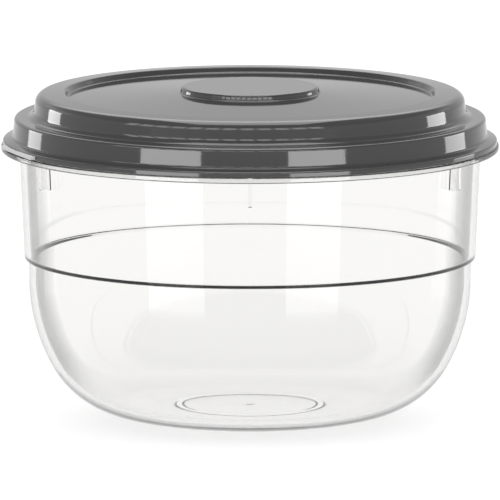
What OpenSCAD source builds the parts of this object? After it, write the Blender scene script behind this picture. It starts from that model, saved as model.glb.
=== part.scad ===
// Round proofing container for dough: a clear moulded bowl with a stepped wall and a
// stiffened rim, closed by a two-tier lid that pushes over the rim.
// The base stands on z = 0 and the axis of both pieces is the z axis. The front is -y.

/* [Bowl] */
// Outer diameter of the flange that runs round the bowl under the lid
flange_d = 241.6; // [225:0.2:270]
// How far the flange stands out from the wall below it
flange_w = 8.8; // [8:0.1:10]
// Height of the underside of the flange above the table
flange_z = 132.3; // [120:0.1:160]
// Thickness of the flange
flange_t = 2.8; // [2:0.1:4]
// Height of the step that runs round the outside of the wall
step_z = 79.5; // [73:0.1:95]
// Height of the slope with which the inside of the wall follows the step
step_ease = 1.6; // [1.2:0.1:3]
// How far the wall draws in below the step
step_in = 2.1; // [1.8:0.05:2.6]
// Thickness of the wall
wall_t = 3.1; // [2.6:0.05:3.6]
// Thickness where the curve of the wall runs into the base
base_t = 3.9; // [3.4:0.05:5]
// Lean of the wall above the step, in degrees
upper_draft = 2.65; // [1:0.05:4]
// Lean of the wall below the step, in degrees
lower_draft = 0.6; // [0.1:0.05:1.5]

/* [Bowl bottom] */
// Radius of the long curve under the straight wall
side_r = 86.7; // [78:0.1:90]
// Radius of the tighter curve below it
knuckle_r = 47.5; // [44:0.1:49]
// Radius of the almost flat curve round the foot
crown_r = 128.5; // [100:0.5:150]
// Width of the ring that the bowl stands on
foot_w = 2.8; // [2.4:0.1:5]
// Depth of the recess inside the foot ring
recess_h = 1.1; // [0.8:0.05:1.6]
// Radius of the moulding gate in the middle of the base
gate_r = 2.2; // [1.8:0.1:4]

/* [Rim] */
// Height of the rim that stands up inside the lid, above the flange
neck_h = 11.6; // [10.5:0.1:16]
// How far the outside of the rim stands in from the wall below the flange
neck_in = 0.4; // [0.2:0.05:0.7]
// Radius of the bead round the outside of the rim
bead_r = 0.7; // [0.4:0.05:0.8]
// Number of short ribs under the flange
rib_count = 6; // [2:1:12]
// Height of a rib below the flange
rib_h = 12; // [6:0.1:20]
// How far a rib stands out from the wall
rib_w = 5.6; // [3:0.1:6.5]
// Thickness of a rib
rib_t = 1.8; // [1.2:0.1:3]

/* [Lid] */
// Thickness of the lid
lid_t = 1.8; // [1.4:0.05:2]
// Gap between the lip of the lid and the flange of the bowl
lip_gap = 0.3; // [0.2:0.05:0.6]
// Height of the lip of the lid, from its lower edge to the top of its edge
lip_h = 2.3; // [1.8:0.05:3]
// Height of the flared foot of the skirt above the edge of the lip
flare_h = 1.3; // [0.8:0.05:1.6]
// Height of the raised ring above the ledge
ring_h = 12.1; // [10:0.1:16]
// Distance from the edge of the ledge to the foot of the raised ring
ledge_w = 9.1; // [8.8:0.1:12]
// Diameter of the sunk field inside the raised ring
field_d = 177.2; // [150:0.2:182]
// Depth of the sunk field at its edge, below the raised ring
field_h = 2.8; // [2.6:0.1:3.6]
// Diameter of the round boss in the middle of the lid, at its foot
boss_d = 68; // [40:0.5:110]
// Height of the boss above the field beside it
boss_h = 3; // [2.8:0.1:5]

/* [Sealing ring and tab] */
// Depth of the sealing ring under the lid, below the ledge
seal_h = 5.6; // [3:0.1:8]
// Thickness of the sealing ring
seal_t = 1.4; // [1:0.1:1.8]
// Gap between the sealing ring and the inside of the rim
seal_gap = 0.45; // [0.3:0.05:0.8]
// Length of the tab that lifts the lid
tab_l = 42; // [20:0.5:50]
// Thickness of the tab
tab_t = 1.6; // [1:0.1:2]
// Place of the tab round the lid, in degrees to the left of the front
tab_turn = 70; // [0:1:360]

/* [Hidden] */
$fn = 144;

// Angles below the horizontal at which one curve of the bottom meets the next
side_end = 29.6;
knuckle_end = 76.2;
crown_end = 89.3;
// Height of the crown curve at its inner end, just above the foot
crown_z = 0.35;
// Number of steps in each curve of the bottom, and in each small corner
curve_steps = 16;
corner_steps = 6;
// Radii of the small corners of the bowl
soft = 0.8;
step_soft = 1;
step_root = 0.4;
ease_soft = 1.3;
// Gap that a sliding piece keeps from the piece beside it
slide_gap = 0.3;
// Overlap of a rib with the wall and the flange that carry it
weld = 0.6;

flange_r = flange_d / 2;
flange_top = flange_z + flange_t;
wall_top_r = flange_r - flange_w;
function wall_r(z) = wall_top_r - (flange_z - z) * tan(upper_draft);
lower_r = wall_r(step_z) - step_in;
neck_r = wall_top_r - neck_in;
neck_top = flange_top + neck_h;

// A point at a distance r from c, in the direction that lies a degrees below the horizontal
function polar(c, r, a) = c + r * [cos(a), -sin(a)];

// Centres of the three curves of the bottom: each curve runs into the next without a corner
curve_drop = side_r * (sin(side_end) - sin(lower_draft))
    + knuckle_r * (sin(knuckle_end) - sin(side_end))
    + crown_r * (sin(crown_end) - sin(knuckle_end));
straight_end_z = crown_z + curve_drop;
straight_end_r = lower_r - (step_z - straight_end_z) * tan(lower_draft);
side_c = polar([straight_end_r, straight_end_z], -side_r, lower_draft);
knuckle_c = polar(side_c, side_r - knuckle_r, side_end);
crown_c = polar(knuckle_c, knuckle_r - crown_r, knuckle_end);
foot_r = polar(crown_c, crown_r, crown_end)[0];

// The wall grows from wall_t to base_t as it turns towards the base
function thickness(a) = wall_t + (base_t - wall_t) * a / crown_end;
function curve(c, r, a, b, inside) =
    [for (i = [0 : curve_steps]) let (t = a + (b - a) * i / curve_steps)
        concat(polar(c, r - (inside ? thickness(t) : 0), t), 0)];
function bottom(inside) = concat(
    curve(side_c, side_r, lower_draft, side_end, inside),
    curve(knuckle_c, knuckle_r, side_end, knuckle_end, inside),
    curve(crown_c, crown_r, knuckle_end, crown_end, inside));
function reversed(list) = [for (i = [len(list) - 1 : -1 : 0]) list[i]];

// An outline is a list of [radius, height, corner radius]
function flat(p) = [p[0], p[1]];
function unit(v) = v / norm(v);
function corner(a, b, c, r) =
    let (u = unit(a - b), v = unit(c - b), half = acos(u * v) / 2,
        centre = b + unit(u + v) * r / sin(half),
        from = b + u * r / tan(half) - centre,
        to = b + v * r / tan(half) - centre,
        start = atan2(from[1], from[0]),
        turn = atan2(cross(from, to), from * to))
    [for (i = [0 : corner_steps])
        centre + r * [cos(start + turn * i / corner_steps), sin(start + turn * i / corner_steps)]];
function rounded(path) =
    [for (i = [0 : len(path) - 1])
        each i == 0 || i == len(path) - 1 || path[i][2] == 0 ? [flat(path[i])]
            : corner(flat(path[i - 1]), flat(path[i]), flat(path[i + 1]), path[i][2])];

// The same outline moved to its right-hand side by t: its corners stay parallel, or are
// rounded by most where a parallel one would be larger
function right_of(d) = [d[1], -d[0]];
function moved(path, t, most) =
    [for (i = [0 : len(path) - 1])
        let (here = flat(path[i]),
            before = i == 0 ? undef : unit(here - flat(path[i - 1])),
            after = i == len(path) - 1 ? undef : unit(flat(path[i + 1]) - here),
            m = right_of(is_undef(before) ? after : before),
            n = right_of(is_undef(after) ? before : after),
            bend = cross(m, n) > 0 ? 1 : -1)
        concat(here + t * (m + n) / (1 + m * n),
            min(most, max(0, path[i][2] + bend * t * sign(path[i][2]))))];

// Bowl
ease_z = step_z + step_ease;
ease_r = wall_r(ease_z) - wall_t;
inner_lower_r = lower_r - wall_t;
inner_neck_r = wall_r(neck_top) - wall_t;
gate_drop = 0.6;
gate_slope = 0.4;
ring_in_r = foot_r - soft - foot_w;

bowl_outside = concat(
    [[0, recess_h - gate_drop, 0],
     [gate_r - gate_slope, recess_h - gate_drop, 0],
     [gate_r, recess_h, 0],
     [ring_in_r - soft, recess_h, soft],
     [ring_in_r, 0, soft / 2],
     [foot_r - soft, 0, soft / 2]],
    reversed(bottom(false)),
    [[lower_r, step_z, step_root],
     [wall_r(step_z), step_z, step_soft],
     [wall_top_r, flange_z, soft],
     [flange_r, flange_z, soft],
     [flange_r, flange_top, soft],
     [neck_r, flange_top, soft]]);
bowl_inside = concat(
    [[neck_r, neck_top, soft],
     [inner_neck_r, neck_top, soft],
     [ease_r, ease_z, ease_soft],
     [inner_lower_r, step_z, ease_soft]],
    bottom(true),
    [[0, crown_z + base_t, 0]]);

module bowl_shell() {
    rotate_extrude() polygon(rounded(concat(bowl_outside, bowl_inside)));
}

// A bead is a round bar bent into a ring
module bead(radius, height) {
    rotate_extrude() translate([radius, height]) circle(bead_r, $fn = 32);
}

// A rib stands on the wall, hangs from the flange and ends square at the bottom
module rib() {
    rib_z = flange_z - rib_h;
    in_r = wall_r(rib_z) - weld;
    out_r = wall_r(rib_z) + rib_w;
    rotate([90, 0, 0]) linear_extrude(rib_t, center = true)
        polygon(rounded([[in_r, rib_z, 0], [out_r, rib_z, soft], [out_r, flange_z + weld, 0],
            [in_r, flange_z + weld, 0]]));
}

module bowl() {
    bead_z = neck_top - 3.1;
    color([0.93, 0.93, 0.91, 0.4]) {
        bowl_shell();
        bead(neck_r, bead_z);
        for (i = [0 : rib_count - 1]) rotate([0, 0, -90 + i * 360 / rib_count]) rib();
    }
}

// Lid, as an outline of its upper face from the middle to the lower edge of the lip
lip_r = flange_r - 0.8;
lip_z = flange_top + lip_gap;
ledge_z = neck_top + lid_t;
skirt_lean = 0.9;
ledge_r = neck_r + bead_r + slide_gap + lid_t;
skirt_foot_r = ledge_r + skirt_lean;
ring_foot_r = ledge_r - ledge_w;
ring_z = ledge_z + ring_h;
ring_lean = 1.4;
// Radii of the raised ring's outer edge and of the curve at its foot
ring_soft = 4.5;
ring_root = 4;
field_r = field_d / 2;
field_wall = 1.5;
field_z = ring_z - field_h;
// The field rises a little from its edge to the boss
field_rise = 2.6;
boss_r = boss_d / 2;
boss_lean = 0.8;
boss_z = field_z + field_rise + boss_h;
ring_slope = 0.8;

lid_top = [
    [0, boss_z, 0],
    [boss_r - boss_lean, boss_z, 1.6],
    [boss_r, boss_z - boss_h, 1.2],
    [field_r, field_z, 1],
    [field_r + field_wall, ring_z, 1.3],
    [ring_foot_r - ring_lean, ring_z - ring_slope, ring_soft],
    [ring_foot_r, ledge_z, ring_root],
    [ledge_r, ledge_z, 1.6],
    [skirt_foot_r, lip_z + lip_h + flare_h, 1.4],
    [lip_r, lip_z + lip_h, 1],
    [lip_r, lip_z, 0]];

lid_under = reversed(moved(lid_top, lid_t, ring_root));

module lid_shell() {
    rotate_extrude() polygon(concat(rounded(lid_top), rounded(lid_under)));
}

// The sealing ring hangs under the ledge, just inside the rim of the bowl
module sealing_ring() {
    out_r = wall_r(neck_top - seal_h) - wall_t - seal_gap;
    seal_z = neck_top - seal_h;
    rotate_extrude() polygon(rounded([
        [out_r - seal_t, neck_top + lid_t / 2, 0],
        [out_r - seal_t, seal_z, soft / 2],
        [out_r, seal_z, soft / 2],
        [out_r, neck_top + lid_t / 2, 0]]));
}

// The tab is a flat plate with a straight edge that stands a little past the lip
module tab() {
    tab_reach = flange_r;
    tab_z = lip_z + 0.2;
    root_r = lip_r - lid_t / 2;
    rotate([0, 0, -tab_turn]) difference() {
        translate([0, 0, tab_z]) linear_extrude(tab_t) polygon(rounded([
            [-tab_l / 2, -root_r * 0.9, 0],
            [-tab_l / 2, -tab_reach, 1],
            [tab_l / 2, -tab_reach, 1],
            [tab_l / 2, -root_r * 0.9, 0]]));
        translate([0, 0, tab_z - 1]) cylinder(h = tab_t + 2, r = root_r);
    }
}

module lid() {
    bead_z = lip_z + 2 * (lip_h + bead_r);
    bead_ring_r = neck_r + 2 * bead_r + slide_gap;
    color([0.27, 0.27, 0.27]) {
        lid_shell();
        sealing_ring();
        bead(bead_ring_r, bead_z);
        tab();
    }
}

bowl();
lid();
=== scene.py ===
"""Clear proofing bowl with a dark push-on lid, in a plain white studio."""
import math

import bmesh
import bpy
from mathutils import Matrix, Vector


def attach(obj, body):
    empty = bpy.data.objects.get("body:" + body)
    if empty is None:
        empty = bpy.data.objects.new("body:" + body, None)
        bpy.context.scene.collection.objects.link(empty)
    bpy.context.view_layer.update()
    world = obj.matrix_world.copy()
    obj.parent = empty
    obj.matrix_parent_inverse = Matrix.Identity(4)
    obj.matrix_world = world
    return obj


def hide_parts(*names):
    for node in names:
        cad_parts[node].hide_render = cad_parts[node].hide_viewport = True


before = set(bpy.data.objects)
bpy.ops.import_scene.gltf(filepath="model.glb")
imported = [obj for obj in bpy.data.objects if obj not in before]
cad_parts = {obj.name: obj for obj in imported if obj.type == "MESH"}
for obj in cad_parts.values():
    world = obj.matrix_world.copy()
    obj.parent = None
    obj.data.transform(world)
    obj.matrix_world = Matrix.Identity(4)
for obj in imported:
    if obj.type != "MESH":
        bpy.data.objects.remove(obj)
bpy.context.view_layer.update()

bl_info = {
    "name": "Proofing bowl with lid",
    "version": (1, 0, 0),
    "blender": (4, 5, 0),
    "location": "3D View > Sidebar > Proofing bowl",
    "description": "Builds a clear bowl with a dark push-on lid, and the studio round it",
    "category": "Add Mesh",
}

MM = 0.001


def length(name, text, size, low=0.0):
    """A size of the object, in metres, given here in millimetres."""
    return bpy.props.FloatProperty(
        name=name, description=text, default=size * MM, min=low, unit="LENGTH", precision=4)


def lean(name, text, degrees):
    """A lean of a wall, given here in degrees."""
    return bpy.props.FloatProperty(
        name=name, description=text, default=math.radians(degrees), unit="ROTATION")


def tint(name, text, colour):
    """A colour of a finish."""
    return bpy.props.FloatVectorProperty(
        name=name, description=text, default=colour, subtype="COLOR", min=0, max=1)


def share(name, text, value, high=1.0):
    """A plain number, such as a roughness."""
    return bpy.props.FloatProperty(name=name, description=text, default=value, min=0, max=high)


class BowlSizes(bpy.types.PropertyGroup):
    """Sizes of the clear bowl."""

    flange_d: length("Flange diameter", "Outer diameter of the flange", 241.6)
    flange_w: length("Flange width", "How far the flange stands out from the wall", 8.8)
    flange_z: length("Flange height", "Height of the underside of the flange", 132.3)
    flange_t: length("Flange thickness", "Thickness of the flange", 2.8)
    step_z: length("Step height", "Height of the step round the outside", 79.5)
    step_ease: length("Step slope", "Height of the slope of the inside beside the step", 1.6)
    step_in: length("Step depth", "How far the wall draws in below the step", 2.1)
    wall_t: length("Wall", "Thickness of the wall", 3.1)
    base_t: length("Base", "Thickness where the wall runs into the base", 3.9)
    upper_draft: lean("Upper draft", "Lean of the wall above the step", 2.65)
    lower_draft: lean("Lower draft", "Lean of the wall below the step", 0.6)
    side_r: length("Side curve", "Radius of the long curve under the straight wall", 86.7)
    knuckle_r: length("Knuckle curve", "Radius of the tighter curve below it", 47.5)
    crown_r: length("Crown curve", "Radius of the almost flat curve round the foot", 128.5)
    foot_w: length("Foot width", "Width of the ring that the bowl stands on", 2.8)
    recess_h: length("Recess", "Depth of the recess inside the foot ring", 1.1)
    gate_r: length("Gate", "Radius of the moulding gate under the base", 2.2)
    neck_h: length("Rim height", "Height of the rim above the flange", 11.6)
    neck_in: length("Rim inset", "How far the rim stands in from the wall", 0.4)
    bead_r: length("Bead", "Radius of the bead round the rim", 0.7)
    rib_count: bpy.props.IntProperty(
        name="Ribs", description="Number of short ribs under the flange", default=6, min=0)
    rib_h: length("Rib height", "Height of a rib below the flange", 12)
    rib_w: length("Rib width", "How far a rib stands out from the wall", 5.6)
    rib_t: length("Rib thickness", "Thickness of a rib", 1.8)
    facets: bpy.props.IntProperty(
        name="Facets", description="Facets round the bowl", default=288, min=24)


class LidSizes(bpy.types.PropertyGroup):
    """Sizes of the dark lid."""

    lid_t: length("Thickness", "Thickness of the lid", 1.8)
    lip_gap: length("Lip gap", "Gap between the lip and the flange of the bowl", 0.3)
    lip_in: length("Lip inset", "How far the lip stands in from the flange of the bowl", 0.8)
    lip_h: length("Lip height", "Height of the lip", 2.3)
    flare_h: length("Flare", "Height of the flared foot of the skirt above the lip", 1.3)
    skirt_lean: length("Skirt lean", "How far the foot of the skirt stands out", 0.9)
    ring_h: length("Ring height", "Height of the raised ring above the ledge", 12.1)
    ring_lean: length("Ring lean", "How far the raised ring draws in at its top", 1.4)
    ring_soft: length("Ring edge", "Radius of the outer edge of the raised ring", 4.5)
    ring_root: length("Ring root", "Radius of the curve at the foot of the raised ring", 4)
    ledge_w: length("Ledge", "Distance from the edge of the ledge to the raised ring", 9.1)
    field_d: length("Field diameter", "Diameter of the sunk field", 177.2)
    field_h: length("Field depth", "Depth of the sunk field at its edge", 2.8)
    field_wall: length("Field wall", "Width of the sloping edge of the field", 1.5)
    field_rise: length("Field rise", "How far the field rises towards the boss", 2.6)
    boss_d: length("Boss diameter", "Diameter of the round boss", 68)
    boss_h: length("Boss height", "Height of the boss above the field", 3)
    seal_h: length("Seal depth", "Depth of the sealing ring below the ledge", 5.6)
    seal_t: length("Seal thickness", "Thickness of the sealing ring", 1.4)
    seal_gap: length("Seal gap", "Gap between the sealing ring and the rim", 0.45)
    tab_l: length("Tab length", "Length of the tab that lifts the lid", 42)
    tab_t: length("Tab thickness", "Thickness of the tab", 1.6)
    tab_turn: lean("Tab turn", "Place of the tab, to the left of the front", 70)
    facets: bpy.props.IntProperty(
        name="Facets", description="Facets round the lid", default=360, min=24)


class Finishes(bpy.types.PropertyGroup):
    """Colours and gloss of the two plastics."""

    clear: tint("Clear plastic", "Tint of the clear plastic", (0.975, 0.972, 0.962))
    # Painted shade: the grey that the clear plastic takes where it is seen edge on stands in for
    # the dark things that it refracts; the same grey also tints the ribs and flange
    edge: tint("Clear edge", "Grey of the clear plastic seen edge on", (0.03, 0.03, 0.028))
    edge_shade_start: share("Edge start", "Slant at which the inside of the clear wall greys", 0.58)
    outer_edge_shade: share("Outer edge", "How grey the outside is where it is seen edge on", 0.04)
    rib_grey: share("Rib grey", "How grey the ribs are", 0.06)
    flange_grey: share("Flange grey", "How grey the flange is", 0.2)
    # Painted shade: the clear plastic's colour darkens towards the base
    base_painted_shade: share("Deep shade", "Shade of the clear plastic at the base", 0.98)
    clear_roughness: share("Clear roughness", "Roughness of the polished clear plastic", 0.015)
    clear_ior: share("Clear index", "Index of refraction of the clear plastic", 1.5, 3.0)
    dark: tint("Dark plastic", "Colour of the lid", (0.065, 0.065, 0.066))
    dark_roughness: share("Dark roughness", "Roughness of the glossy lid", 0.06)
    dark_ior: share("Dark index", "Index of refraction of the dark plastic", 1.5, 3.0)


class Studio(bpy.types.PropertyGroup):
    """Camera, floor and lights."""

    distance: bpy.props.FloatProperty(
        name="Camera distance", description="Distance of the camera", default=10.797,
        unit="LENGTH")
    elevation: lean("Camera height", "How far the camera looks down", 8.25)
    aim: length("Aim", "Height that the camera looks at", 82.9)
    lens: share("Lens", "Focal length, in millimetres", 1600, 5000)
    floor: bpy.props.FloatProperty(
        name="Floor", description="Width of the floor", default=6, unit="LENGTH")
    world: share("Room light", "Strength of the light from all sides", 1.0, 10)
    horizon: share("Horizon", "Brightness of the room in gloss, level with the object", 0.75, 10)
    ceiling: share("Ceiling", "Brightness of the front ceiling in gloss, beside the horizon", 0.3)
    ceiling_through: share("Ceiling through", "Brightness of the ceiling in clear plastic", 0.9)
    back_glow: share("Back glow", "Brightness that gloss adds to the ceiling at the back", 2.8, 10)
    paper: share("Paper", "Share of the floor's white that takes shadows", 0.5)
    through: share("Paper through", "Brightness of the floor through clear plastic", 0.95)
    softbox: share("Softboxes", "Radiance of the softboxes", 8.0, 100)
    overhead: share("Overhead", "Radiance of the panel overhead", 3.0, 100)
    lamps: share("Lamps", "Radiance of the small lamps", 4.0, 100)


class Wire:
    """A value on its way through a node tree: sums written with it add Math nodes."""

    def __init__(self, board, socket):
        self.board = board
        self.socket = socket

    def sum(self, operation, *values):
        """The result of a Math node on these values."""
        node = self.board.add("ShaderNodeMath", {"operation": operation},
                              {place: value for place, value in enumerate(values)})
        return self.board.wire(node)

    def __add__(self, other):
        return self.sum("ADD", self, other)

    def __radd__(self, other):
        return self.sum("ADD", other, self)

    def __sub__(self, other):
        return self.sum("SUBTRACT", self, other)

    def __rsub__(self, other):
        return self.sum("SUBTRACT", other, self)

    def __mul__(self, other):
        return self.sum("MULTIPLY", self, other)

    def __rmul__(self, other):
        return self.sum("MULTIPLY", other, self)

    def __truediv__(self, other):
        return self.sum("DIVIDE", self, other)

    def __pow__(self, other):
        return self.sum("POWER", self, other)

    def __gt__(self, other):
        return self.sum("GREATER_THAN", self, other)

    def __lt__(self, other):
        return self.sum("LESS_THAN", self, other)

    def at_least(self, low):
        """The value, or this where it is less."""
        return self.sum("MAXIMUM", self, low)

    def at_most(self, high):
        """The value, or this where it is more."""
        return self.sum("MINIMUM", self, high)

    def size(self):
        """The value without its sign."""
        return self.sum("ABSOLUTE", self)


class Board:
    """A node tree that takes new nodes by their type, settings and inputs."""

    def __init__(self, tree):
        self.tree = tree

    def add(self, kind, settings=None, inputs=None):
        """A new node: its settings are set first, then its sockets get values or links."""
        node = self.tree.nodes.new(kind)
        for name, value in (settings or {}).items():
            setattr(node, name, value)
        for place, value in (inputs or {}).items():
            self.feed(node.inputs[place], value)
        return node

    def feed(self, socket, value):
        """Gives a socket a value or a link."""
        if isinstance(value, Wire):
            self.tree.links.new(value.socket, socket)
        else:
            socket.default_value = value

    def wire(self, node, output=0):
        """The named or numbered output of a node, to go on with."""
        return Wire(self, node.outputs[output])


# Outlines: a list of points (radius, height, corner radius), as the CAD parts have

CORNER_STEPS = 8
CURVE_STEPS = 20


def unit(v):
    return v.normalized()


def right_of(v):
    return Vector((v.y, -v.x))


def corner(before, here, after, radius):
    """The arc that rounds the corner at here."""
    u = unit(before - here)
    v = unit(after - here)
    half = math.acos(max(-1, min(1, u.dot(v)))) / 2
    centre = here + unit(u + v) * radius / math.sin(half)
    start = here + u * radius / math.tan(half) - centre
    end = here + v * radius / math.tan(half) - centre
    first = math.atan2(start.y, start.x)
    turn = math.atan2(start.x * end.y - start.y * end.x, start.dot(end))
    return [centre + radius * Vector((math.cos(first + turn * i / CORNER_STEPS),
                                      math.sin(first + turn * i / CORNER_STEPS)))
            for i in range(CORNER_STEPS + 1)]


def rounded(path):
    """The points of an outline, with its corners rounded."""
    flat = [Vector(point[:2]) for point in path]
    points = []
    for i, point in enumerate(path):
        if i in (0, len(path) - 1) or point[2] == 0:
            points.append(flat[i])
        else:
            points += corner(flat[i - 1], flat[i], flat[i + 1], point[2])
    return points


def moved(path, t, most):
    """The same outline moved to its right-hand side by t, its corners parallel up to most."""
    flat = [Vector(point[:2]) for point in path]
    result = []
    for i, point in enumerate(path):
        before = unit(flat[i] - flat[i - 1]) if i else None
        after = unit(flat[i + 1] - flat[i]) if i < len(path) - 1 else None
        m = right_of(before or after)
        n = right_of(after or before)
        place = flat[i] + t * (m + n) / (1 + m.dot(n))
        bend = 1 if m.x * n.y - m.y * n.x > 0 else -1
        radius = min(most, max(0, point[2] + bend * t)) if point[2] else 0
        result.append((place.x, place.y, radius))
    return result


def bead(start, end, centre, radius):
    """A round bead on the straight line from start to end, as outline points."""
    start, end, centre = Vector(start), Vector(end), Vector(centre)
    along = unit(end - start)
    foot = start + along * (centre - start).dot(along)
    half = math.sqrt(radius ** 2 - (centre - foot).length_squared)
    enter = foot - along * half - centre
    leave = foot + along * half - centre
    first = math.atan2(enter.y, enter.x)
    turn = math.atan2(enter.x * leave.y - enter.y * leave.x, enter.dot(leave))
    return [(centre.x + radius * math.cos(first + turn * i / CORNER_STEPS),
             centre.y + radius * math.sin(first + turn * i / CORNER_STEPS), 0)
            for i in range(CORNER_STEPS + 1)]


def polar(centre, radius, angle):
    """A point at this distance from the centre, this angle below the horizontal."""
    return centre + radius * Vector((math.cos(angle), -math.sin(angle)))


class BowlShape:
    """The bowl's outline, worked out from its sizes."""

    TINY = 0.001 * MM
    SOFT = 0.8 * MM
    STEP_SOFT = 1 * MM
    STEP_ROOT = 0.4 * MM
    EASE_SOFT = 1.3 * MM
    GATE_DROP = 0.6 * MM
    GATE_SLOPE = 0.4 * MM
    BEAD_DROP = 3.1 * MM
    RIB_MARGIN = 0.4 * MM
    CROWN_Z = 0.35 * MM
    SIDE_END = math.radians(29.6)
    KNUCKLE_END = math.radians(76.2)
    CROWN_END = math.radians(89.3)

    def __init__(self, size):
        self.size = size
        self.flange_r = size.flange_d / 2
        self.flange_top = size.flange_z + size.flange_t
        self.wall_top_r = self.flange_r - size.flange_w
        self.lower_r = self.wall_r(size.step_z) - size.step_in
        self.neck_r = self.wall_top_r - size.neck_in
        self.neck_top = self.flange_top + size.neck_h
        self.bead_z = self.neck_top - self.BEAD_DROP
        self.set_bottom()

    def wall_r(self, z):
        """Outer radius of the upper wall at a height."""
        return self.wall_top_r - (self.size.flange_z - z) * math.tan(self.size.upper_draft)

    def set_bottom(self):
        """Centres of the three curves that make the bottom, each tangent to the next."""
        size = self.size
        drop = (size.side_r * (math.sin(self.SIDE_END) - math.sin(size.lower_draft))
                + size.knuckle_r * (math.sin(self.KNUCKLE_END) - math.sin(self.SIDE_END))
                + size.crown_r * (math.sin(self.CROWN_END) - math.sin(self.KNUCKLE_END)))
        start_z = self.CROWN_Z + drop
        start_r = self.lower_r - (size.step_z - start_z) * math.tan(size.lower_draft)
        side = polar(Vector((start_r, start_z)), -size.side_r, size.lower_draft)
        knuckle = polar(side, size.side_r - size.knuckle_r, self.SIDE_END)
        crown = polar(knuckle, size.knuckle_r - size.crown_r, self.KNUCKLE_END)
        self.curves = ((side, size.side_r, size.lower_draft, self.SIDE_END),
                       (knuckle, size.knuckle_r, self.SIDE_END, self.KNUCKLE_END),
                       (crown, size.crown_r, self.KNUCKLE_END, self.CROWN_END))
        self.foot_r = polar(crown, size.crown_r, self.CROWN_END).x

    def bottom(self, inside):
        """The curved bottom, from the straight wall to the foot."""
        size = self.size
        points = []
        for centre, radius, first, last in self.curves:
            for i in range(CURVE_STEPS + 1):
                angle = first + (last - first) * i / CURVE_STEPS
                wall = size.wall_t + (size.base_t - size.wall_t) * angle / self.CROWN_END
                place = polar(centre, radius - (wall if inside else 0), angle)
                points.append((place.x, place.y, 0))
        return [point for i, point in enumerate(points)
                if i == 0 or Vector(point).to_2d() != Vector(points[i - 1]).to_2d()]

    def outside(self):
        """From the middle of the underside to the top of the rim."""
        size, soft = self.size, self.SOFT
        ring_in_r = self.foot_r - soft - size.foot_w
        under_ribs = size.flange_z - size.rib_h - self.RIB_MARGIN
        neck_bead = bead((self.neck_r, self.flange_top), (self.neck_r, self.neck_top),
                         (self.neck_r - self.TINY, self.bead_z), size.bead_r)
        return [
            (0, size.recess_h - self.GATE_DROP, 0),
            (size.gate_r - self.GATE_SLOPE, size.recess_h - self.GATE_DROP, 0),
            (size.gate_r, size.recess_h, 0),
            (ring_in_r - soft, size.recess_h, soft),
            (ring_in_r, 0, soft / 2),
            (self.foot_r - soft, 0, soft / 2),
            *reversed(self.bottom(False)),
            (self.lower_r, size.step_z, self.STEP_ROOT),
            (self.wall_r(size.step_z), size.step_z, self.STEP_SOFT),
            (self.wall_r(under_ribs), under_ribs, 0),
            (self.wall_top_r, size.flange_z, soft),
            (self.flange_r, size.flange_z, soft),
            (self.flange_r, self.flange_top, soft),
            (self.neck_r, self.flange_top, soft),
            *neck_bead,
            (self.neck_r, self.neck_top, soft)]

    def inside(self):
        """From the top of the rim down to the middle of the floor."""
        size = self.size
        ease_z = size.step_z + size.step_ease
        return [
            (self.wall_r(self.neck_top) - size.wall_t, self.neck_top, self.SOFT),
            (self.wall_r(ease_z) - size.wall_t, ease_z, self.EASE_SOFT),
            (self.lower_r - size.wall_t, size.step_z, self.EASE_SOFT),
            *self.bottom(True),
            (0, self.CROWN_Z + size.base_t, 0)]

    def outline(self):
        return rounded(self.outside() + self.inside())


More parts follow.
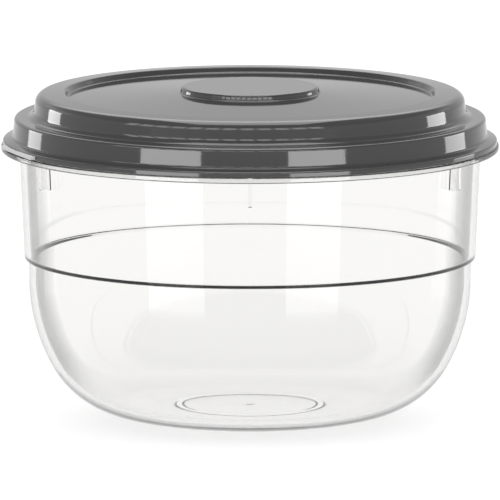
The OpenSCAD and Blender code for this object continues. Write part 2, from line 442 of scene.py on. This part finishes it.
class LidShape:
    """The lid's outline, worked out from its sizes and the bowl's."""

    SLIDE_GAP = 0.3 * MM
    RING_SLOPE = 0.8 * MM
    BOSS_LEAN = 0.8 * MM
    BOSS_SOFT = 1.6 * MM
    BOSS_ROOT = 1.2 * MM
    FIELD_ROOT = 1 * MM
    FIELD_SOFT = 1.3 * MM
    LEDGE_SOFT = 1.6 * MM
    FLARE_ROOT = 1.4 * MM
    LIP_SOFT = 1 * MM
    TAB_RISE = 0.2 * MM
    TAB_STEPS = 24

    def __init__(self, size, bowl):
        self.size = size
        self.bowl = bowl
        bead_r = bowl.size.bead_r
        self.lip_r = bowl.flange_r - size.lip_in
        self.lip_z = bowl.flange_top + size.lip_gap
        self.ledge_z = bowl.neck_top + size.lid_t
        self.ledge_r = bowl.neck_r + bead_r + self.SLIDE_GAP + size.lid_t
        self.ring_foot_r = self.ledge_r - size.ledge_w
        self.ring_z = self.ledge_z + size.ring_h
        self.field_z = self.ring_z - size.field_h
        self.boss_z = self.field_z + size.field_rise + size.boss_h
        self.bead_z = self.lip_z + 2 * (size.lip_h + bead_r)
        self.bead_ring_r = bowl.neck_r + 2 * bead_r + self.SLIDE_GAP

    def top(self):
        """The upper face, from the middle to the lower edge of the lip."""
        size = self.size
        boss_r, field_r = size.boss_d / 2, size.field_d / 2
        return [
            (0, self.boss_z, 0),
            (boss_r - self.BOSS_LEAN, self.boss_z, self.BOSS_SOFT),
            (boss_r, self.boss_z - size.boss_h, self.BOSS_ROOT),
            (field_r, self.field_z, self.FIELD_ROOT),
            (field_r + size.field_wall, self.ring_z, self.FIELD_SOFT),
            (self.ring_foot_r - size.ring_lean, self.ring_z - self.RING_SLOPE,
             size.ring_soft),
            (self.ring_foot_r, self.ledge_z, size.ring_root),
            (self.ledge_r, self.ledge_z, self.LEDGE_SOFT),
            (self.ledge_r + size.skirt_lean, self.lip_z + size.lip_h + size.flare_h,
             self.FLARE_ROOT),
            (self.lip_r, self.lip_z + size.lip_h, self.LIP_SOFT),
            (self.lip_r, self.lip_z, 0)]

    def seal(self):
        """The sealing ring under the ledge, from its outer root to its inner root."""
        size, bowl = self.size, self.bowl
        low = bowl.neck_top - size.seal_h
        out_r = bowl.wall_r(low) - bowl.size.wall_t - size.seal_gap
        soft = bowl.SOFT / 2
        return [(out_r, bowl.neck_top, 0), (out_r, low, soft),
                (out_r - size.seal_t, low, soft), (out_r - size.seal_t, bowl.neck_top, 0)]

    def underside(self):
        """The lower face, from the lip back to the middle, with its bead and sealing ring."""
        under = list(reversed(moved(self.top(), self.size.lid_t, self.size.ring_root)))
        flare, ledge, ring_foot = under[2], under[3], under[4]
        skirt_bead = bead(flare[:2], ledge[:2], (self.bead_ring_r, self.bead_z),
                          self.bowl.size.bead_r)
        return (under[:3] + skirt_bead + [ledge] + self.seal() + [ring_foot] + under[5:])

    def outline(self):
        return rounded(self.top() + self.underside())


# Meshes

MERGE = 1e-6
SLIVER = 1e-7
CREASE = math.radians(32)
WELD = 0.6 * MM


def add_object(name, mesh):
    piece = bpy.data.objects.new(name, mesh)
    bpy.context.scene.collection.objects.link(piece)
    return piece


def settled(piece):
    """The piece with its modifiers turned into a plain mesh."""
    bpy.context.view_layer.update()
    graph = bpy.context.evaluated_depsgraph_get()
    mesh = bpy.data.meshes.new_from_object(piece.evaluated_get(graph))
    piece.modifiers.clear()
    piece.data = mesh
    mesh.name = piece.name
    return piece


def tidied(piece):
    """Merges doubles, turns all faces outwards, marks the sharp edges and evens the shading."""
    mesh = piece.data
    work = bmesh.new()
    work.from_mesh(mesh)
    bmesh.ops.remove_doubles(work, verts=work.verts, dist=MERGE)
    bmesh.ops.dissolve_degenerate(work, edges=work.edges, dist=SLIVER)
    bmesh.ops.recalc_face_normals(work, faces=work.faces)
    for face in work.faces:
        face.smooth = True
    work.to_mesh(mesh)
    work.free()
    mesh.set_sharp_from_angle(angle=CREASE)
    weighted = piece.modifiers.new("weighted", "WEIGHTED_NORMAL")
    weighted.weight = 90
    weighted.keep_sharp = True
    return settled(piece)


def new_tree(name, inputs):
    """A Geometry Nodes tree with a geometry input and these named inputs."""
    tree = bpy.data.node_groups.new(name, "GeometryNodeTree")
    tree.interface.new_socket("Geometry", in_out="INPUT", socket_type="NodeSocketGeometry")
    for label, kind in inputs:
        tree.interface.new_socket(label, in_out="INPUT", socket_type=kind)
    tree.interface.new_socket("Geometry", in_out="OUTPUT", socket_type="NodeSocketGeometry")
    return tree


def finish_tree(board, geometry):
    """Ends a tree in real geometry with its material."""
    source = board.source
    real = board.add("GeometryNodeRealizeInstances", None, {"Geometry": geometry})
    clad = board.add("GeometryNodeSetMaterial", None, {
        "Geometry": board.wire(real), "Material": board.wire(source, "Material")})
    board.add("NodeGroupOutput", None, {"Geometry": board.wire(clad)})


def lathe_tree():
    """Turns an outline in the xz plane round the z axis."""
    tree = new_tree("Lathe", (("Facets", "NodeSocketInt"), ("Material", "NodeSocketMaterial")))
    board = Board(tree)
    board.source = source = board.add("NodeGroupInput")
    outline = board.wire(source, "Geometry")
    facets = board.wire(source, "Facets")
    size = board.add("GeometryNodeAttributeDomainSize", {"component": "MESH"},
                     {"Geometry": outline})
    count = board.wire(size, "Point Count")
    grid = board.add("GeometryNodeMeshGrid", None, {
        "Size X": 1.0, "Size Y": 1.0, "Vertices X": facets + 1, "Vertices Y": count})
    place = board.add("ShaderNodeSeparateXYZ", None,
                      {0: board.wire(board.add("GeometryNodeInputPosition"))})
    turn = (board.wire(place, "X") + 0.5) * (2 * math.pi)
    row = (board.wire(place, "Y") + 0.5) * (count - 1)
    sample = board.add("GeometryNodeSampleIndex", {"data_type": "FLOAT_VECTOR"}, {
        "Geometry": outline, "Value": board.wire(board.add("GeometryNodeInputPosition")),
        "Index": row.sum("ROUND", row)})
    point = board.add("ShaderNodeSeparateXYZ", None, {0: board.wire(sample)})
    radius = board.wire(point, "X")
    spun = board.add("ShaderNodeCombineXYZ", None, {
        0: radius * turn.sum("COSINE", turn), 1: radius * turn.sum("SINE", turn),
        2: board.wire(point, "Z")})
    turned = board.add("GeometryNodeSetPosition", None, {
        "Geometry": board.wire(grid), "Position": board.wire(spun)})
    closed = board.add("GeometryNodeMergeByDistance", None, {
        "Geometry": board.wire(turned), "Distance": MERGE})
    finish_tree(board, board.wire(closed))
    return tree


def ring_tree():
    """Repeats a mesh round the z axis at even turns, the first one where it is."""
    tree = new_tree("Ring", (("Count", "NodeSocketInt"), ("Material", "NodeSocketMaterial")))
    board = Board(tree)
    board.source = source = board.add("NodeGroupInput")
    count = board.wire(source, "Count")
    spots = board.add("GeometryNodePoints", None, {"Count": count})
    turn = board.wire(board.add("GeometryNodeInputIndex")) * (2 * math.pi) / count
    spin = board.add("ShaderNodeCombineXYZ", None, {2: turn})
    copies = board.add("GeometryNodeInstanceOnPoints", None, {
        "Points": board.wire(spots), "Instance": board.wire(source, "Geometry"),
        "Rotation": board.wire(spin)})
    finish_tree(board, board.wire(copies))
    return tree


def grown(piece, tree, **values):
    """Runs a tree on a piece with these inputs and keeps the result as a plain mesh."""
    modifier = piece.modifiers.new(tree.name, "NODES")
    modifier.node_group = tree
    for item in tree.interface.items_tree:
        if item.in_out == "INPUT" and item.name in values:
            modifier[item.identifier] = values[item.name]
    return settled(piece)


def lathed(name, points, facets, material):
    """A closed body turned from an outline whose ends lie on the axis."""
    mesh = bpy.data.meshes.new(name)
    mesh.from_pydata([(point.x, 0, point.y) for point in points],
                     [(i, i + 1) for i in range(len(points) - 1)], [])
    piece = grown(add_object(name, mesh), lathe_tree(), Facets=facets, Material=material)
    return tidied(piece)


def plate(name, outline, low, high, stand=False):
    """A flat plate from an outline: lying between two heights, or standing across y."""
    mesh = bpy.data.meshes.new(name)
    work = bmesh.new()
    ends = []
    for level in (low, high):
        spots = [(p.x, level, p.y) if stand else (p.x, p.y, level) for p in outline]
        ends.append([work.verts.new(spot) for spot in spots])
    work.faces.new(ends[0])
    work.faces.new(ends[1])
    for i in range(len(outline)):
        j = (i + 1) % len(outline)
        work.faces.new((ends[0][i], ends[0][j], ends[1][j], ends[1][i]))
    bmesh.ops.recalc_face_normals(work, faces=work.faces)
    work.to_mesh(mesh)
    work.free()
    return add_object(name, mesh)


def joined(piece, other):
    """The piece united with another, which is used up."""
    modifier = piece.modifiers.new("join", "BOOLEAN")
    modifier.operation = "UNION"
    modifier.solver = "EXACT"
    modifier.object = other
    settled(piece)
    bpy.data.objects.remove(other)
    return tidied(piece)


def ribs(shape, material):
    """The short ribs under the flange, as one mesh."""
    size = shape.size
    low = size.flange_z - size.rib_h
    in_r = shape.wall_r(low) - WELD
    out_r = shape.wall_r(low) + size.rib_w
    top = size.flange_z + WELD
    outline = rounded([(in_r, low, 0), (out_r, low, shape.SOFT), (out_r, top, 0), (in_r, top, 0)])
    rib = plate("rib", outline, -size.rib_t / 2, size.rib_t / 2, stand=True)
    for vertex in rib.data.vertices:
        x, y, z = vertex.co
        vertex.co = (y, -x, z)
    return grown(rib, ring_tree(), Count=size.rib_count, Material=material)


def tab(shape):
    """The tab beside the lip, cut round to the lip."""
    size = shape.size
    root_r = shape.lip_r - size.lid_t / 2
    reach = shape.bowl.flange_r
    half = size.tab_l / 2
    low = shape.lip_z + shape.TAB_RISE
    inner = []
    span = math.asin(half / root_r)
    for i in range(shape.TAB_STEPS + 1):
        angle = span - 2 * span * i / shape.TAB_STEPS
        inner.append(Vector((root_r * math.sin(angle), -root_r * math.cos(angle))))
    square = rounded([(-half, 0, 0), (-half, -reach, MM), (half, -reach, MM), (half, 0, 0)])
    outline = square[1:-1] + inner
    piece = plate("tab", outline, low, low + size.tab_t)
    turn = -size.tab_turn
    for vertex in piece.data.vertices:
        x, y, z = vertex.co
        vertex.co = (x * math.cos(turn) - y * math.sin(turn),
                     x * math.sin(turn) + y * math.cos(turn), z)
    return piece


# Materials

WHITE = (1, 1, 1, 1)
# Scales of the noise: the larger, the finer
POLISH_SCALE = 18.0
WAVE_SCALE = 24.0
SHADE_SCALE = 9.0
RUB_SCALE = 60.0
GRAIN_SCALE = 900.0
PAPER_SCALE = 300.0
# Depths of the bumps, in metres, and how strongly they show
WAVE_DEPTH = 0.3 * MM
GRAIN_DEPTH = 0.2 * MM
BUMP_STRENGTH = 0.02
# The painted shade inside falls on faces that stand upright: all of them up to the first slope,
# none from the second on; the two powers say how soon a face takes painted shade as it is seen
# edge on
UPRIGHT_SLOPES = (0.5, 0.9)
INSIDE_POWER = 0.8
OUTSIDE_POWER = 6.0
# The middle of the bowl that its inner faces look at, as a share of the flange's height
MIDDLE_SHARE = 0.66
# How far beyond the wall the ribs begin, and how far below the flange its own grey begins
RIB_START = 0.3 * MM
FLANGE_MARGIN = 0.05 * MM
# What a shadow ray keeps on its way through the clear plastic
SHADOW_TINT = (0.985, 0.985, 0.98, 1)
# Brightness of the floor in full light, and how plain it shows through clear plastic
FLOOR_WHITE = 1.13
PLAIN_SHARE = 0.75
CLOTH_POWER = 3.0


def new_material(name):
    material = bpy.data.materials.new(name)
    material.use_nodes = True
    material.node_tree.nodes.clear()
    return material, Board(material.node_tree)


def noise(board, scale, detail=2.0):
    """Soft noise on object coordinates, from 0 to 1."""
    place = board.add("ShaderNodeTexCoord")
    node = board.add("ShaderNodeTexNoise", None, {
        "Vector": board.wire(place, "Object"), "Scale": scale, "Detail": detail})
    return board.wire(node, "Fac")


def spot_on(board):
    """How far a point of a piece is from the axis, and its height."""
    place = board.add("ShaderNodeTexCoord")
    spot = board.add("ShaderNodeSeparateXYZ", None, {0: board.wire(place, "Object")})
    x, y = board.wire(spot, "X"), board.wire(spot, "Y")
    return (x * x + y * y) ** 0.5, board.wire(spot, "Z")


def inner_face(board, middle):
    """One where a face looks towards the bowl's middle, else nought; and the face's slope."""
    place = board.add("ShaderNodeTexCoord")
    arm = board.add("ShaderNodeVectorMath", {"operation": "SUBTRACT"}, {
        0: board.wire(place, "Object"), 1: (0, 0, middle)})
    geometry = board.add("ShaderNodeNewGeometry")
    along = board.add("ShaderNodeVectorMath", {"operation": "DOT_PRODUCT"}, {
        0: board.wire(arm), 1: board.wire(geometry, "Normal")})
    ways = board.add("ShaderNodeSeparateXYZ", None, {0: board.wire(geometry, "Normal")})
    return board.wire(along, "Value") < 0.0, board.wire(ways, "Z")


def edge_shade_and_grey(board, look, shape, away, height):
    """How much painted shade the clear plastic takes where it is seen edge on, inside and faintly
    outside, and how grey it is on ribs and flange.
    """
    facing = board.wire(board.add("ShaderNodeLayerWeight", None, {"Blend": 0.5}), "Facing")
    inner, slope = inner_face(board, shape.flange_top * MIDDLE_SHARE)
    upright = blend(board, slope.size(), *UPRIGHT_SLOPES, 1.0, 0.0)
    start = look.edge_shade_start
    inside = ((facing - start) / (1 - start)).at_least(0.0) ** INSIDE_POWER
    outside = look.outer_edge_shade * facing ** OUTSIDE_POWER
    proud = away > shape.wall_top_r + RIB_START
    flange = height > shape.size.flange_z - FLANGE_MARGIN
    stands_out = proud * (look.rib_grey + (look.flange_grey - look.rib_grey) * flange)
    return (inner * upright * inside + (1 - inner) * (outside + stands_out)).at_most(1.0)


def clear_plastic(look, shape):
    """Clear moulded plastic: polished and faintly warm, with painted shade where it is seen edge
    on and colour painted darker towards the base.
    """
    material, board = new_material("clear_plastic")
    away, height = spot_on(board)
    shade_and_grey_share = edge_shade_and_grey(board, look, shape, away, height)
    roughness = look.clear_roughness * (0.5 + noise(board, POLISH_SCALE))
    # Painted shade: the colour darkens towards the base, up to the height of the step
    rise = (height / shape.size.step_z).at_most(1.0)
    colour = board.add("ShaderNodeVectorMath", {"operation": "SCALE"}, {
        0: look.clear[:], "Scale": look.base_painted_shade + (1 - look.base_painted_shade) * rise})
    bump = board.add("ShaderNodeBump", None, {
        "Strength": BUMP_STRENGTH, "Distance": WAVE_DEPTH,
        "Height": noise(board, WAVE_SCALE, 1.0)})
    glass = board.add("ShaderNodeBsdfPrincipled", None, {
        "Base Color": board.wire(colour), "Roughness": roughness, "IOR": look.clear_ior,
        "Transmission Weight": 1.0, "Normal": board.wire(bump)})
    # The grey diffuse mixed in is painted shade where the plastic is seen edge on, and plain grey
    # on the ribs and flange
    grey = board.add("ShaderNodeBsdfDiffuse", None, {"Color": (*look.edge, 1)})
    edged = board.add("ShaderNodeMixShader", None, {
        0: shade_and_grey_share, 1: board.wire(glass), 2: board.wire(grey)})
    rays = board.add("ShaderNodeLightPath")
    open_way = board.add("ShaderNodeBsdfTransparent", None, {"Color": SHADOW_TINT})
    mix = board.add("ShaderNodeMixShader", None, {
        0: board.wire(rays, "Is Shadow Ray"), 1: board.wire(edged), 2: board.wire(open_way)})
    board.add("ShaderNodeOutputMaterial", None, {"Surface": board.wire(mix)})
    return material


def dark_plastic(look):
    """Glossy dark grey moulded plastic, with the faint unevenness of a mould."""
    material, board = new_material("dark_plastic")
    shade = 0.94 + 0.12 * noise(board, SHADE_SCALE, 3.0)
    colour = board.add("ShaderNodeVectorMath", {"operation": "SCALE"}, {
        0: look.dark[:], "Scale": shade})
    roughness = look.dark_roughness * (0.8 + 0.4 * noise(board, RUB_SCALE))
    bump = board.add("ShaderNodeBump", None, {
        "Strength": BUMP_STRENGTH, "Distance": GRAIN_DEPTH,
        "Height": noise(board, GRAIN_SCALE, 1.0)})
    shader = board.add("ShaderNodeBsdfPrincipled", None, {
        "Base Color": board.wire(colour), "Roughness": roughness, "IOR": look.dark_ior,
        "Normal": board.wire(bump)})
    board.add("ShaderNodeOutputMaterial", None, {"Surface": board.wire(shader)})
    return material


def blend(board, value, low, high, first=0.0, last=1.0):
    """A soft change from first to last as a value goes from low to high."""
    node = board.add("ShaderNodeMapRange", {"interpolation_type": "SMOOTHSTEP"}, {
        "Value": value, "From Min": low, "From Max": high, "To Min": first, "To Max": last})
    return board.wire(node)


def seen_directly(board):
    """One for rays from the camera, from gloss or through clear plastic, and else nought."""
    rays = board.add("ShaderNodeLightPath")
    seen = board.wire(rays, "Is Camera Ray") + board.wire(rays, "Is Glossy Ray")
    return (seen + board.wire(rays, "Is Transmission Ray")).at_most(1.0)


def floor_paper(paper, through):
    """White paper that keeps the shadow, and shows plainer through clear plastic."""
    material, board = new_material("floor_paper")
    shade = paper * (1.0 + 0.02 * noise(board, PAPER_SCALE))
    colour = board.add("ShaderNodeCombineColor", None, {0: shade, 1: shade, 2: shade})
    matt = board.add("ShaderNodeBsdfDiffuse", None, {"Color": board.wire(colour)})
    glow = board.add("ShaderNodeEmission", None, {
        "Color": WHITE, "Strength": (FLOOR_WHITE - paper) * seen_directly(board)})
    both = board.add("ShaderNodeAddShader", None, {0: board.wire(matt), 1: board.wire(glow)})
    plain = board.add("ShaderNodeEmission", None, {"Color": WHITE, "Strength": through})
    rays = board.add("ShaderNodeLightPath")
    mix = board.add("ShaderNodeMixShader", None, {
        0: PLAIN_SHARE * board.wire(rays, "Is Transmission Ray"), 1: board.wire(both),
        2: board.wire(plain)})
    board.add("ShaderNodeOutputMaterial", None, {"Surface": board.wire(mix)})
    return material


def lit_cloth(name, radiance, low, full):
    """The lit front of a panel: as bright as the room at its lowest edge, then brighter."""
    material, board = new_material(name)
    place = board.add("ShaderNodeTexCoord")
    spot = board.add("ShaderNodeSeparateXYZ", None, {0: board.wire(place, "Object")})
    rise = blend(board, board.wire(spot, "Z"), low, full)
    glow = board.add("ShaderNodeEmission", None, {
        "Color": WHITE, "Strength": 1 + radiance * rise ** CLOTH_POWER})
    board.add("ShaderNodeOutputMaterial", None, {"Surface": board.wire(glow)})
    return material


# Operators

class PieceOperator:
    bl_options = {"REGISTER", "UNDO"}

    def require(self, piece):
        """Stops when a piece came out empty or open."""
        work = bmesh.new()
        work.from_mesh(piece.data)
        loose = sum(1 for edge in work.edges if not edge.is_manifold)
        faces = len(work.faces)
        work.free()
        if faces == 0 or loose:
            raise RuntimeError(f"{piece.name} has {faces} faces and {loose} open edges")

    def settle(self, piece, body, node, slot):
        """Checks a finished piece, gives it its body and hides the CAD node that it stands for;
        its slot is not used.
        """
        self.require(piece)
        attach(piece, body)
        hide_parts(node)


class OBJECT_OT_clear_bowl(PieceOperator, bpy.types.Operator):
    """Builds the clear bowl with its ribs"""

    bl_idname = "proofing.bowl"
    bl_label = "Clear bowl"

    def execute(self, context):
        scene = context.scene
        shape = BowlShape(scene.bowl_sizes)
        material = clear_plastic(scene.finishes, shape)
        piece = lathed("clear_bowl", shape.outline(), shape.size.facets, material)
        if shape.size.rib_count:
            piece = joined(piece, ribs(shape, material))
        self.settle(piece, "bowl", "bowl", "clear_plastic")
        return {"FINISHED"}


class OBJECT_OT_dark_lid(PieceOperator, bpy.types.Operator):
    """Builds the dark lid with its tab, bead and sealing ring"""

    bl_idname = "proofing.lid"
    bl_label = "Dark lid"

    def execute(self, context):
        scene = context.scene
        shape = LidShape(scene.lid_sizes, BowlShape(scene.bowl_sizes))
        material = dark_plastic(scene.finishes)
        piece = lathed("dark_lid", shape.outline(), shape.size.facets, material)
        piece = joined(piece, tab(shape))
        self.settle(piece, "lid", "lid", "dark_plastic")
        return {"FINISHED"}


class SCENE_OT_studio(bpy.types.Operator):
    """Builds the floor, the room light, the softboxes and the camera"""

    bl_idname = "proofing.studio"
    bl_label = "Studio"
    bl_options = {"REGISTER", "UNDO"}

    # Each softbox: name, turn from the front towards +x in degrees, width, lowest and highest
    # point in metres, and its share of the full radiance
    SOFTBOXES = (
        ("softbox_left", -37, 0.52, -0.4, 0.24, 0.8),
        ("softbox_right", 31, 0.48, -0.4, 0.24, 0.8),
        ("softbox_side_left", -124, 0.25, -0.3, 0.33, 0.7),
        ("softbox_side_right", 114, 0.32, -0.3, 0.33, 0.7),
        ("softbox_high_left", -128, 0.6, 0.34, 0.55, 0.25),
        ("softbox_high_right", 130, 0.2, 0.34, 0.55, 0.25),
    )
    # The lamps: lowest and highest angle of each row, then first turn, step and number of turns
    LAMP_ROWS = ((20, 26), (29, 35))
    LAMP_TURNS = (-68, 9, 12)
    LAMP_FILL = 0.78
    # Height over which a softbox grows from the room's brightness to its own, in metres
    SOFTBOX_FADE = 0.5
    # The panel overhead: half its width, front and back edge and height, in metres
    OVERHEAD = (0.35, -0.35, 0.8, 1.1)
    # Heights below all panels that stand without a fade
    NO_FADE = (-2, -1)
    # What gloss shows of the room, by the rise of the way it looks: where the ceiling takes
    # over from the horizon, where the floor does, and where the back glows up and sideways
    CEILING_RISE = (0.28, 0.62)
    FLOOR_RISE = (-0.15, 0.0)
    GLOW_RISE = (0.25, 0.65)
    GLOW_BACK = (0.3, 0.8)
    GLOW_SIDE = (0.2, 0.5)

    def add_floor(self, studio):
        half = studio.floor / 2
        mesh = bpy.data.meshes.new("floor")
        mesh.from_pydata([(-half, -half, 0), (half, -half, 0), (half, half, 0),
                          (-half, half, 0)], [], [(0, 1, 2, 3)])
        floor = add_object("floor", mesh)
        mesh.materials.append(floor_paper(studio.paper, studio.through))
        floor.visible_glossy = False

    def add_world(self, studio):
        world = bpy.context.scene.world or bpy.data.worlds.new("room")
        bpy.context.scene.world = world
        world.use_nodes = True
        world.node_tree.nodes.clear()
        board = Board(world.node_tree)
        rays = board.add("ShaderNodeLightPath")
        through = board.wire(rays, "Is Transmission Ray")
        gloss = board.wire(rays, "Is Glossy Ray") * (1 - through)
        ways = board.add("ShaderNodeTexCoord")
        way = board.add("ShaderNodeSeparateXYZ", None, {0: board.wire(ways, "Generated")})
        side, back, up = (board.wire(way, axis) for axis in "XYZ")
        glow = (blend(board, up, *self.GLOW_RISE) * blend(board, back, *self.GLOW_BACK)
                * blend(board, side.size(), *self.GLOW_SIDE, 1.0, 0.0))
        in_gloss = (studio.horizon * blend(board, up, *self.CEILING_RISE, 1, studio.ceiling)
                    + (1 - studio.horizon) * blend(board, up, *self.FLOOR_RISE, 1.0, 0.0)
                    + studio.back_glow * glow)
        seen_through = blend(board, up, *self.CEILING_RISE, 1, studio.ceiling_through)
        strength = (board.wire(rays, "Is Camera Ray") + gloss * in_gloss
                    + through * seen_through + (1 - seen_directly(board)) * studio.world)
        light = board.add("ShaderNodeBackground", None, {
            "Color": WHITE, "Strength": strength})
        board.add("ShaderNodeOutputWorld", None, {"Surface": board.wire(light)})

    def add_softbox(self, studio, name, turn, width, low, high, part):
        """A lit panel a metre away, dimmer towards its foot."""
        angle = math.radians(turn)
        middle = Vector((math.sin(angle), -math.cos(angle), 0))
        side = Vector((math.cos(angle), math.sin(angle), 0)) * width / 2
        spots = [middle - side + Vector((0, 0, low)), middle + side + Vector((0, 0, low)),
                 middle + side + Vector((0, 0, high)), middle - side + Vector((0, 0, high))]
        self.add_panel(name, spots, lit_cloth(name, studio.softbox * part, low,
                                              low + self.SOFTBOX_FADE))

    def add_overhead(self, studio):
        """A wide panel over the object, for the light on its rounded edges."""
        half, front, back, up = self.OVERHEAD
        spots = [Vector((x, y, up)) for x, y in ((-half, front), (half, front), (half, back),
                                                 (-half, back))]
        self.add_panel("overhead", spots, lit_cloth("overhead", studio.overhead, *self.NO_FADE))

    def add_lamps(self, studio):
        """Rows of small lamps, which glint in the curve at the foot of the raised ring."""
        first, step, count = self.LAMP_TURNS
        spots = []
        for low, high in self.LAMP_ROWS:
            for i in range(count):
                left = first + i * step
                right = left + step * self.LAMP_FILL
                for turn, rise in ((left, low), (right, low), (right, high), (left, high)):
                    around, up = math.radians(turn), math.radians(rise)
                    spots.append(Vector((math.sin(around) * math.cos(up),
                                         -math.cos(around) * math.cos(up), math.sin(up))))
        self.add_panel("lamps", spots, lit_cloth("lamps", studio.lamps, *self.NO_FADE))

    def add_panel(self, name, spots, cloth):
        mesh = bpy.data.meshes.new(name)
        mesh.from_pydata(spots, [], [range(i, i + 4) for i in range(0, len(spots), 4)])
        mesh.materials.append(cloth)
        panel = add_object(name, mesh)
        panel.visible_camera = False
        panel.visible_diffuse = False
        panel.visible_transmission = False
        panel.visible_shadow = False

    def add_camera(self, studio):
        data = bpy.data.cameras.new("camera")
        data.sensor_width = 36
        data.lens = studio.lens
        data.clip_start = 1
        data.clip_end = 100
        camera = bpy.data.objects.new("camera", data)
        bpy.context.scene.collection.objects.link(camera)
        camera.location = (0, -studio.distance * math.cos(studio.elevation),
                           studio.aim + studio.distance * math.sin(studio.elevation))
        camera.rotation_euler = (math.pi / 2 - studio.elevation, 0, 0)
        bpy.context.scene.camera = camera

    def execute(self, context):
        studio = context.scene.studio
        self.add_floor(studio)
        self.add_world(studio)
        for softbox in self.SOFTBOXES:
            self.add_softbox(studio, *softbox)
        self.add_overhead(studio)
        self.add_lamps(studio)
        self.add_camera(studio)
        context.scene.view_settings.view_transform = "Standard"
        return {"FINISHED"}


class VIEW3D_PT_proofing_bowl(bpy.types.Panel):
    """Lists the pieces and their sizes in the sidebar"""

    bl_label = "Proofing bowl"
    bl_idname = "VIEW3D_PT_proofing_bowl"
    bl_space_type = "VIEW_3D"
    bl_region_type = "UI"
    bl_category = "Proofing bowl"

    def draw(self, context):
        layout = self.layout
        for operator in OPERATORS:
            layout.operator(operator.bl_idname)
        for name, group in GROUPS:
            part = layout.box()
            part.label(text=group.__doc__)
            for key in group.__annotations__:
                part.prop(getattr(context.scene, name), key)


OPERATORS = (OBJECT_OT_clear_bowl, OBJECT_OT_dark_lid, SCENE_OT_studio)
GROUPS = (("bowl_sizes", BowlSizes), ("lid_sizes", LidSizes), ("finishes", Finishes),
          ("studio", Studio))
CLASSES = tuple(group for _, group in GROUPS) + OPERATORS + (VIEW3D_PT_proofing_bowl,)


def register():
    for item in CLASSES:
        bpy.utils.register_class(item)
    for name, group in GROUPS:
        setattr(bpy.types.Scene, name, bpy.props.PointerProperty(type=group))


def unregister():
    for name, _ in reversed(GROUPS):
        delattr(bpy.types.Scene, name)
    for item in reversed(CLASSES):
        bpy.utils.unregister_class(item)


def main():
    register()
    bpy.ops.proofing.bowl()
    bpy.ops.proofing.lid()
    bpy.ops.proofing.studio()


if __name__ == "__main__":
    main()
